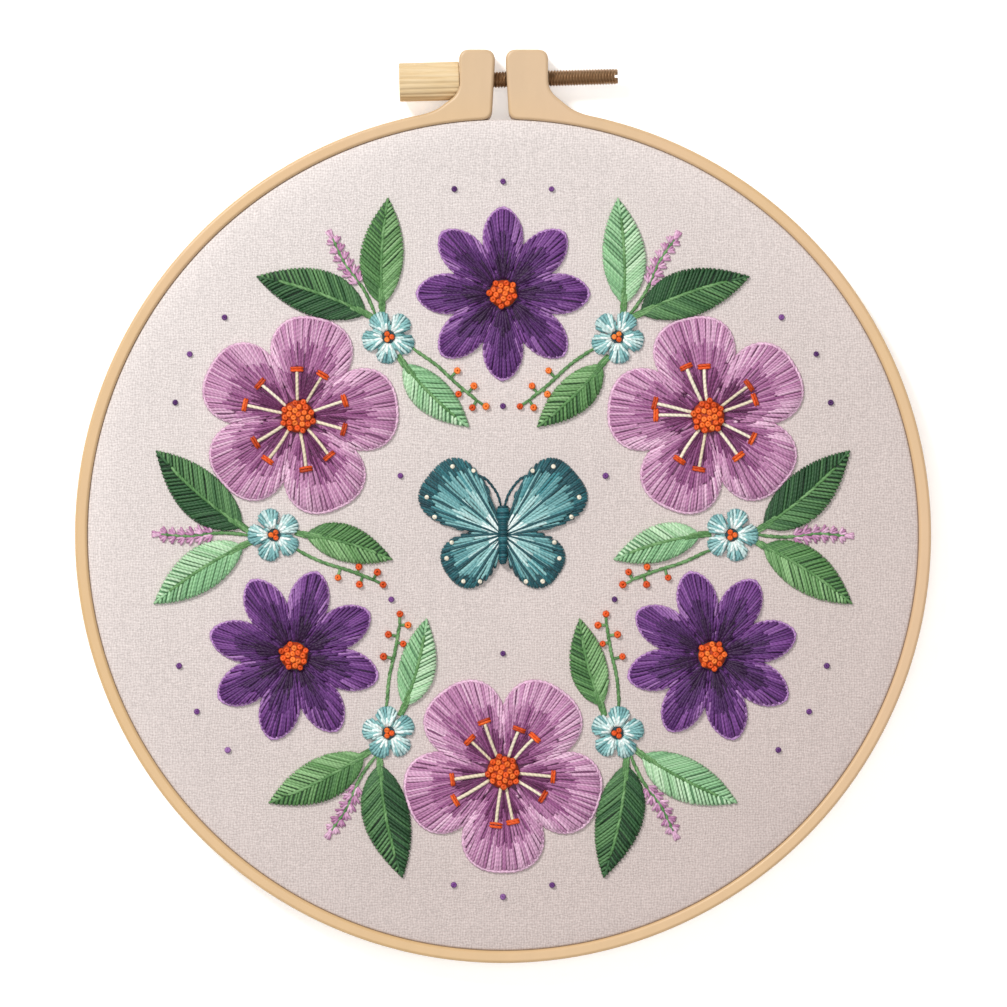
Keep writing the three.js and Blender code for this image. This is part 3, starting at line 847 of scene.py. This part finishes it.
class Lobe:
    """A padded petal, leaf or wing with its foot at the origin, pointing along Y."""

    def __init__(self, shape, rise):
        self.length, self.width, self.lean = shape["length"], shape["width"], shape.get("lean", 0)
        self.opens, self.closes = SWELLS[shape["swell"]]
        self.rise = rise

    def half_width(self, share):
        share = np.clip(share, 1e-6, 1 - 1e-6)
        widest = self.opens / (self.opens + self.closes)
        swell = (share / widest) ** self.opens * ((1 - share) / (1 - widest)) ** self.closes
        return self.width / 2 * swell

    def at(self, share, across):
        """The point a share of the way along and across, from -1 at one edge to 1 at the other."""
        share, across = np.broadcast_arrays(share, across)
        x = self.lean * share**2 + across * self.half_width(share)
        return np.stack([x, self.length * share], axis=-1)

    def height(self, points):
        """Of the padding, which dips along the middle and at the edges."""
        share = np.clip(points[..., 1] / self.length, 0.001, 0.999)
        across = np.abs(points[..., 0] - self.lean * share**2) / self.half_width(share)
        flank = np.sqrt(1 - np.clip(2 * across - 1, 0, 1) ** 2)
        crown = np.where(across < 0.5, 0.65 + 0.35 * np.sin(np.pi * across), flank)
        return EDGE + crown * (self.rise - EDGE) * np.sqrt(np.sin(np.pi * share))

    def outline(self, start=0.0):
        """The edge from one side of the foot round the tip to the other, with more points at the tip."""
        share = 1 - (1 - start) * np.linspace(1, 0, 120) ** 1.6
        return np.vstack([self.at(share, -1), self.at(share[::-1], 1)[1:]])

    def shade_padding(self):
        """Rings of points along the lobe, just under its threads and down to the linen."""
        share = np.linspace(0.03, 0.97, 12)[:, None]
        flat = self.at(share, np.array([0.93, 0.9, 0.5, 0.15, -0.15, -0.5, -0.9, -0.93]))
        rise = self.height(flat) - 0.3
        rise[:, [0, -1]] = PAD_FOOT
        return np.dstack([flat, rise])


def dome(radius, foot, rise, steps=16):
    """Rings of a low dome, from below its edge to its top, clockwise as padding needs them."""
    angle = np.radians([0, 0, 30, 55, 75, 88])
    height = foot + rise * np.sin(angle)
    height[0] = PAD_FOOT
    return turned(zip(radius * np.cos(angle), height), steps)[:, -np.arange(steps)]


class Fan:
    """Lines that spread from a lobe's foot to its outline."""

    def __init__(self, feet, tips):
        self.feet, self.tips = feet, tips

    def across(self, shares):
        """Feet and tips of the lines at these shares of the way across."""
        known = np.linspace(0, 1, len(self.feet))
        return between(shares, known, self.feet), between(shares, known, self.tips)

    def spaced(self, depth):
        """Shares of the way across of lines that lie a thread apart, a share of the way along."""
        lines = self.tips - self.feet
        step = np.diff(self.feet + depth * lines, axis=0)
        way = (unit(lines)[1:] + unit(lines)[:-1]) / 2
        apart = np.abs(step[:, 0] * way[:, 1] - step[:, 1] * way[:, 0])
        spread = np.concatenate([[0], np.cumsum(apart)])
        count = max(3, round(spread[-1] / SPACING))
        wanted = (np.arange(count) + 0.5 + rng.normal(0, 0.1, count)) / count * spread[-1]
        return np.interp(wanted, spread, np.linspace(0, 1, len(spread)))


def long_and_short(stitching, place, lobe, fan, rows, fold=0.0):
    """Rows of stitches along a fan, each starting among the last one's ends, and darker in the fold."""
    for number, row in enumerate(rows):
        shares = fan.spaced(0.35 * row["start"] + 0.65 * row["end"])
        feet, tips = fan.across(shares)
        ragged = row.get("ragged", 0.08)
        at_foot, at_edge = row["start"] == 0, row["end"] == 1
        start = row["start"] + (0 if at_foot else ragged) * rng.uniform(-1, 1, (len(feet), 1))
        end = row["end"] + (0 if at_edge else ragged) * rng.uniform(-1, 1, (len(feet), 1))
        starts, ends = feet + start * (tips - feet), feet + end * (tips - feet)
        sink = (0.35, 0.95 if at_edge else 0.35)
        paths = straight(starts, ends, lobe.height, lift=0.02 + 0.06 * number, sink=sink)
        tone = rng.choice(row["tones"], len(feet)) + fold * (np.abs(2 * shares - 1) - 0.5)
        stitching.lay(place, paths, tone + rng.normal(0, 0.03, len(feet)))


def edging(stitching, place, lobe, tone):
    """Stem stitch just inside a lobe's outline, darker towards its foot."""
    curve = Curve(lobe.outline(0.08), smooth=False)
    paths = stem_stitch(curve, 3.2, offset=-0.2, lift=0.55, sink=0.7)
    share = paths[:, :, 1].mean(axis=1) / lobe.length
    tones = tone * np.interp(share, [0.2, 0.5], [0.25, 1])
    stitching.lay(place, paths, tones + rng.normal(0, 0.06, len(paths)))


# ---- Flowers ----

# Rows from the rim inwards, as shares of the way from the flower's middle to the petal's edge. The throat is
# laid over them: a number of single stitches and the range of their lengths.
# The tone of each flower's padding is painted shade between its threads.
PETALS = dict(
    lilac=dict(
        rows=[
            dict(start=0.62, end=1, tones=[0.64, 0.78, 0.92]),
            dict(start=0.34, end=0.72, tones=[0.4, 0.52, 0.66]),
            dict(start=0, end=0.44, tones=[0.12, 0.24, 0.36]),
        ],
        rim=0.95,
        fold=0.3,
        shade_padding=0.4,
        throat=dict(count=7, lengths=(4, 8.5), tone=0.04),
        stamens=2,
    ),
    violet=dict(
        rows=[
            dict(start=0.6, end=1, tones=[0.5, 0.64, 0.8]),
            dict(start=0.3, end=0.7, tones=[0.28, 0.4, 0.5]),
            dict(start=0, end=0.42, tones=[0.04, 0.14, 0.24]),
        ],
        rim=1,
        fold=0.3,
        shade_padding=0.1,
        throat=dict(count=3, lengths=(3, 6), tone=0),
        stamens=0,
    ),
    posy=dict(
        rows=[dict(start=0, end=1, tones=[0.62, 0.74, 0.88])],
        rim=None,
        fold=0,
        shade_padding=0.5,
        throat=dict(count=3, lengths=(1.8, 2.8), tone=1),
        stamens=0,
    ),
)


FOOT_SPREAD = 0.8  # of the room that a petal has round the flower's middle


def throat(stitching, petal, lobe, fan, count, lengths, tone):
    """Long single stitches laid over a petal from its foot."""
    feet, tips = fan.across(np.linspace(0.3, 0.7, count))
    ends = feet + unit(tips - feet) * rng.uniform(*lengths, (count, 1))
    paths = straight(feet, ends, lobe.height, lift=0.3, sink=(0.4, 0.6))
    stitching.lay(petal, paths, tone + rng.normal(0, 0.05, count))


def flower(place, shape, rise, petals, loose):
    """The petals of one flower round its middle, each with its rim, throat and stamens."""
    stitching = Stitching()
    foot = shape["heart"] + SEAT_GAP
    lobe = Lobe(shape, rise)
    tips = lobe.outline(0.05)
    half = FOOT_SPREAD * 180 / shape["petals"]
    feet = polar(0.82 * foot, 90 - np.linspace(-half, half, len(tips))) - (0, foot)
    fan = Fan(feet, tips)
    # Painted shade: a dome in the darkest tone under the petals' feet.
    stitching.pad(place, dome(2 * foot - 1.3, 0.1, 0.35), 0)  # closes the gaps between the petals' feet
    for number in range(shape["petals"]):
        petal = Place(0, (0, foot), Place(360 / shape["petals"] * number, within=place))
        # Padding whose tone is painted shade between the threads.
        stitching.pad(petal, lobe.shade_padding(), petals["shade_padding"])
        long_and_short(stitching, petal, lobe, fan, petals["rows"], petals["fold"])
        if petals["rim"]:
            edging(stitching, petal, lobe, petals["rim"])
        throat(stitching, petal, lobe, fan, **petals["throat"])
        stamens(petal, lobe, foot, petals["stamens"], loose)
    return stitching


def stamens(petal, lobe, foot, count, loose):
    """Thick cream filaments out of the flower's middle, each with a short amber bar across its tip."""
    if not count:
        return
    turns = 90 + np.linspace(-13, 13, count) + rng.normal(0, 4, count)
    starts = polar(0.75 * foot, turns) - (0, foot)
    tips = polar(foot + rng.uniform(6, 8.5, count), turns) - (0, foot)
    filaments = straight(starts, tips, lobe.height, lift=0.5, sink=(0.4, 0.3))
    loose["cream"].lay(petal, filaments, rng.uniform(0.2, 0.7, count), 0.4)
    way = unit(tips - starts)
    for step in (-0.3, 0.3):
        middle, reach = tips + step * way, 1.6 * leftward(way)
        bars = straight(middle - reach, middle + reach, lobe.height, 0.75, (0.5, 0.5))
        loose["amber"].lay(petal, bars, rng.uniform(0.1, 0.6, count))


GOLDEN_ANGLE = 137.508
KNOTS_PER_SQUARE = 1.13  # of a heart's radius


def heart(place, radius):
    """A dome of knots, set in the whorls of a seed head."""
    stitching = Stitching()
    foot, rise, border = 1, 0.36 * radius, 0.7
    # Painted shade: dark padding under the knots.
    stitching.pad(place, dome(radius - border, foot, rise - 0.5), 0.1)
    count = round(KNOTS_PER_SQUARE * radius**2)
    reach = (radius - border) * np.sqrt((np.arange(count) + 0.5) / count)
    centres = polar(reach, GOLDEN_ANGLE * np.arange(count))
    base = foot - 0.45 + (rise - 0.15) * np.sqrt(1 - (reach / radius) ** 2)
    tones = 0.75 - 0.5 * (reach / radius) ** 2 + rng.normal(0, 0.1, count)
    stitching.lay(place, french_knots(centres, base), tones, 0.32)
    return stitching


def blossom(shape, third, loose):
    name = f"{shape['name']}_{third + 1}"
    place = on_spoke(shape, third)
    petals = PETALS[shape["name"]]
    flower(place, shape, RISE["blossom"], petals, loose).piece(f"{name}_stitches", shape["name"], name)
    heart(place, shape["heart"]).piece(f"{name}_heart_knots", "amber", f"{name}_heart")


def posy(spot, third, loose):
    name = f"{spot['name']}_{third + 1}"
    place = on_spoke(spot, third)
    flower(place, POSY, RISE["posy"], PETALS["posy"], loose).piece(f"{name}_stitches", "aqua", name)
    knots = french_knots(polar(0.75, [90, 210, 330]), 0.75, 0.4)
    loose["amber"].lay(place, knots, rng.uniform(0.4, 0.9, 3))


# ---- Leaves and stalks ----

SLOPE = 0.95  # how far a leaf's threads climb for their reach sideways


def leaf(shape, third, loose):
    """Fishbone stitch: threads that slant up from the midrib to each edge, and the stalk that joins it."""
    name = f"{shape['name']}_{third + 1}"
    place = on_spoke(shape, third)
    lobe = Lobe({**shape, "swell": "leaf"}, RISE["leaf"])
    stitching = Stitching()
    # Painted shade: padding in the leaf's darkest tone under its threads.
    stitching.pad(place, lobe.shade_padding(), 0.05)
    for side, tones in ((-1, [0.2, 0.32, 0.44]), (1, [0.5, 0.64, 0.78])):
        share = np.arange(0.02, 0.985, SPACING * math.hypot(1, SLOPE) / lobe.length)
        share = share + rng.normal(0, 0.1, len(share)) * SPACING / lobe.length
        foot_share = np.maximum(share - SLOPE * lobe.half_width(share) / lobe.length, 0)
        feet, tips = lobe.at(foot_share, 0.02 * side), lobe.at(share, side)
        kept = np.linalg.norm(tips - feet, axis=1) > 0.7
        paths = straight(feet[kept], tips[kept], lobe.height, lift=0.05, sink=(0.3, 0.85))
        tone = rng.choice(tones, len(paths)) + 0.12 * share[kept] + rng.normal(0, 0.04, len(paths))
        stitching.lay(place, paths, tone)
    point = straight(lobe.at(0.84, 0), lobe.at(1, 0), lobe.height, 0.2, (0.3, 0.7))
    stitching.lay(place, point, 0.5)
    stitching.piece(f"{name}_stitches", shape["tone"], name)

    def on_leaf(points):
        """Up off the linen and along the leaf's groove."""
        return lobe.height(points) * np.clip(1 + points[..., 1] / 2, 0, 1)

    midrib = Curve([(0, -3.2), *lobe.at(np.linspace(0, 0.8, 8), 0)])
    for offset, reach in ((0, midrib.length), (0.42, 6.5), (-0.42, 5.2)):
        part = Curve(midrib.at(np.linspace(0, reach, 60)), smooth=False)
        stalk(loose["stems"], place, part, offset=offset, height=on_leaf, lift=0.16)


def stalk(stitching, place, curve, **how):
    paths = stem_stitch(curve, **how)
    stitching.lay(place, paths, rng.uniform(0.3, 0.65, len(paths)))


def sprig(angle, third, loose):
    """A spike of paired buds between two outer leaves."""
    place = Place(-90, (61, 0), in_third(third, angle))
    spine = Curve([(0, 0), (0.5, 7), (-0.3, 14), (0.2, 21)])
    stalk(loose["stems"], place, spine, stitch=3)
    for number, distance in enumerate(np.linspace(9, 20, 6)):
        for side in (-1, 1):
            start = spine.beside(distance, -0.3 * side)
            for lean in (10, 35, 62):
                tip = start + polar(2.6 - 0.15 * number, 90 - side * lean)
                bud = straight(start, tip, lift=0.34 + lean / 500, sink=(0.4, 0.6))
                loose["buds"].lay(place, bud, rng.uniform(0.45, 0.95))
    for lean in (-14, 0, 14):
        tip = spine.points[-1] + polar(2.6, 90 + lean)
        bud = straight(spine.points[-1], tip, lift=0.36, sink=(0.4, 0.6))
        loose["buds"].lay(place, bud, rng.uniform(0.6, 0.95))


# Distance from the hoop's centre, and degrees from the posy towards the violet flower.
SPRAY = [(50, 4), (44, 8.5), (38, 13), (33, 19)]
BERRIES = [(35.5, 12.5), (41, 14.5), (31.5, 16.5), (36.5, 19), (31.2, 22.5)]


def spray(angle, towards, third, loose):
    """A curved stalk inside the wreath with a knotted berry at the end of each twig."""
    place = in_third(third, angle)
    line = Curve([polar(reach, towards * turn) for reach, turn in SPRAY])
    stalk(loose["stems"], place, line, stitch=3)
    for reach, turn in BERRIES:
        centre = polar(reach, towards * turn)
        nearest = line.points[np.argmin(np.linalg.norm(line.points - centre, axis=1))]
        loose["stems"].lay(place, straight(nearest, centre), rng.uniform(0.3, 0.65))
        loose["amber"].lay(place, french_knots(centre, 0.1, 0.62, 2.6), rng.uniform(0.3, 0.8), 0.34)


# Distance from the hoop's centre, and degrees from the lilac flower.
SEEDS = [(87, 0), (85, 8), (85, -8), (85, 60), (84, 52), (84, 68), (31, 60), (28.5, 0)]


def seeds(third, loose):
    """Single knots scattered between the motifs."""
    for reach, turn in SEEDS:
        knot = french_knots(polar(reach, turn), 0.0, 0.46)
        loose["seeds"].lay(in_third(third), knot, rng.uniform(0.3, 0.8))


# ---- Butterfly ----

WING_ROWS = [
    dict(start=0.8, end=1, tones=[0.04, 0.12, 0.2], ragged=0.04),
    dict(start=0.5, end=0.84, tones=[0.45, 0.56, 0.66], ragged=0.06),
    dict(start=0.2, end=0.58, tones=[0.7, 0.82], ragged=0.06),
    dict(start=0, end=0.27, tones=[0.92, 1.0], ragged=0.03),
]
VEINS = [0.2, 0.36, 0.5, 0.64, 0.8]
SPOTS = [0.28, 0.43, 0.57, 0.72]


def wings(loose):
    """Four wings with a dark border, veins and a row of pale knots."""
    stitching = Stitching()
    for wing in WINGS:
        lobe = Lobe(wing, RISE["wing"])
        tips = lobe.outline(0.04)
        spread = np.linspace(-1, 1, len(tips))
        fan = Fan(np.stack([0.7 * spread, 0.4 * np.abs(spread)], axis=1), tips)
        for side in (-1, 1):
            place = Place(side * wing["heading"])
            # Painted shade: dark padding under the wing's threads.
            stitching.pad(place, lobe.shade_padding(), 0.1)
            long_and_short(stitching, place, lobe, fan, WING_ROWS)
            feet, ends = fan.across(VEINS)
            veins = straight(feet, feet + 0.88 * (ends - feet), lobe.height, 0.34, (0.3, 0.4), 0.01)
            stitching.lay(place, veins, 0.08)
            feet, ends = fan.across(SPOTS)
            centres = feet + 0.9 * (ends - feet)
            knots = french_knots(centres, lobe.height(centres) - 0.05, 0.3)
            loose["cream"].lay(place, knots, 0.8)
    stitching.piece("butterfly_wings_stitches", "aqua", "butterfly_wings")


def butterfly_body():
    """Satin stitch across a padded body, fuller at its head."""
    stitching = Stitching()
    half = BODY_LENGTH / 2 + BODY_RADIUS
    y = np.arange(0.35 - half, half - 0.2, 0.46)
    past_end = np.maximum(np.abs(y) - BODY_LENGTH / 2, 0) / BODY_RADIUS
    swell = np.where(y > half - 3.2, 1.2, np.clip(1.1 - 0.03 * (half - y), 0.5, 1))
    half_width = BODY_RADIUS * swell * np.sqrt(np.clip(1 - past_end**2, 0.2, 1)) + 0.15

    def over(points):
        return 1.1 + 1.75 * np.sqrt(np.clip(1 - (points[..., 0] / half_width[:, None]) ** 2, 0, 1))

    starts, ends = np.stack([-half_width, y], axis=1), np.stack([half_width, y + 0.15], axis=1)
    paths = straight(starts, ends, over, lift=-0.1, sink=(0.9, 0.9))
    stitching.lay(Place(), paths, rng.choice([0.2, 0.45, 0.7], len(y)))
    stitching.piece("butterfly_body_stitches", "teal", "butterfly_body")


def feelers():
    stitching = Stitching()
    head = BODY_LENGTH / 2 + BODY_RADIUS
    for side in (-1, 1):
        line = Curve([(side * out, head + up) for out, up in ((0.3, -0.6), (1.5, 3), (4.2, 6.4), (7, 7.4))])
        paths = stem_stitch(line, 2.6)
        stitching.lay(Place(), paths, rng.uniform(0.1, 0.4, len(paths)), 0.22)
        stitching.lay(Place(), french_knots(line.points[-1], 0.05, 0.4), 0.3)
    stitching.piece("feelers", "teal")


# Stitching that stands for no node: the name of its piece and its dye.
LOOSE = dict(
    stems=("stems_and_midribs", "mid"),
    buds=("sprig_buds", "lilac"),
    seeds=("seed_knots", "violet"),
    amber=("anthers_and_berries", "amber"),
    cream=("filaments_and_wing_spots", "cream"),
)


def embroidery():
    loose = {kind: Stitching() for kind in LOOSE}
    for third in range(THIRDS):
        for shape in BLOSSOMS:
            blossom(shape, third, loose)
        for spot in POSIES:
            posy(spot, third, loose)
            sprig(spot["at"], third, loose)
        for shape in LEAVES:
            leaf(shape, third, loose)
        spray(POSIES[0]["at"], 1, third, loose)
        spray(POSIES[1]["at"], -1, third, loose)
        seeds(third, loose)
    wings(loose)
    butterfly_body()
    feelers()
    for kind, (name, dye) in LOOSE.items():
        loose[kind].piece(name, dye)


# ---- Stage ----


def floor():
    """A square of paper, just clear of the hoop's back."""
    half, gap = 3, 0.3 * MM
    corners = [(x, y, -gap) for x, y in ((-half, -half), (half, -half), (half, half), (-half, half))]
    mesh = bpy.data.meshes.new("floor")
    mesh.from_pydata(corners, [], [(0, 1, 2, 3)])
    mesh.materials.append(floor_paper())
    add_object(mesh)


def area_light(name, place, size, energy, colour):
    data = bpy.data.lights.new(name, "AREA")
    data.shape = "DISK"
    data.size, data.energy, data.color = size, energy, colour
    lamp = add_object(data)
    lamp.location = place
    lamp.rotation_euler = (-Vector(place)).to_track_quat("-Z", "Y").to_euler()


def studio():
    """Soft light from the upper left and a weaker one overhead."""
    area_light("key", place=(-0.75, 0.9, 1.23), size=0.42, energy=21.5, colour=(1, 0.985, 0.96))
    area_light("fill", place=(0.1, -0.16, 1.1), size=0.9, energy=5.3, colour=(1, 0.985, 0.97))
    world = bpy.data.worlds.new("studio")
    world.use_nodes = True
    background = world.node_tree.nodes["Background"]
    background.inputs["Color"].default_value = (1, 1, 1, 1)
    background.inputs["Strength"].default_value = 0.33
    bpy.context.scene.world = world
    bpy.context.scene.view_settings.view_transform = "Standard"


def camera():
    """Straight above on a long lens, as wide as the photograph at the height of the hoop's front."""
    view_width, distance = 0.2421, 1.5
    aim = (0.00012, 0.00067)  # where the photograph's middle lies in the row frame
    data = bpy.data.cameras.new("camera")
    data.sensor_width = 36
    data.lens = data.sensor_width * (distance - HOOP_DEPTH * MM) / view_width
    viewer = add_object(data)
    viewer.location = (*aim, distance)
    bpy.context.scene.camera = viewer


# ---- Assembly ----

camera()
studio()
floor()
plastic = hoop_plastic()
piece_of(outer_hoop(), HOOP_BODY, "hoop_plastic", plastic, "outer_hoop")
piece_of(inner_hoop(), HOOP_BODY, "hoop_plastic", plastic, "inner_hoop")
piece_of(linen_sheet(), HOOP_BODY, "linen", linen(), "cloth")
piece_of(screw(), SCREW_BODY, "screw_metal", bronzed_steel(), "screw")
piece_of(knob(), SCREW_BODY, "knob_wood", knob_wood(), "knob")
embroidery()
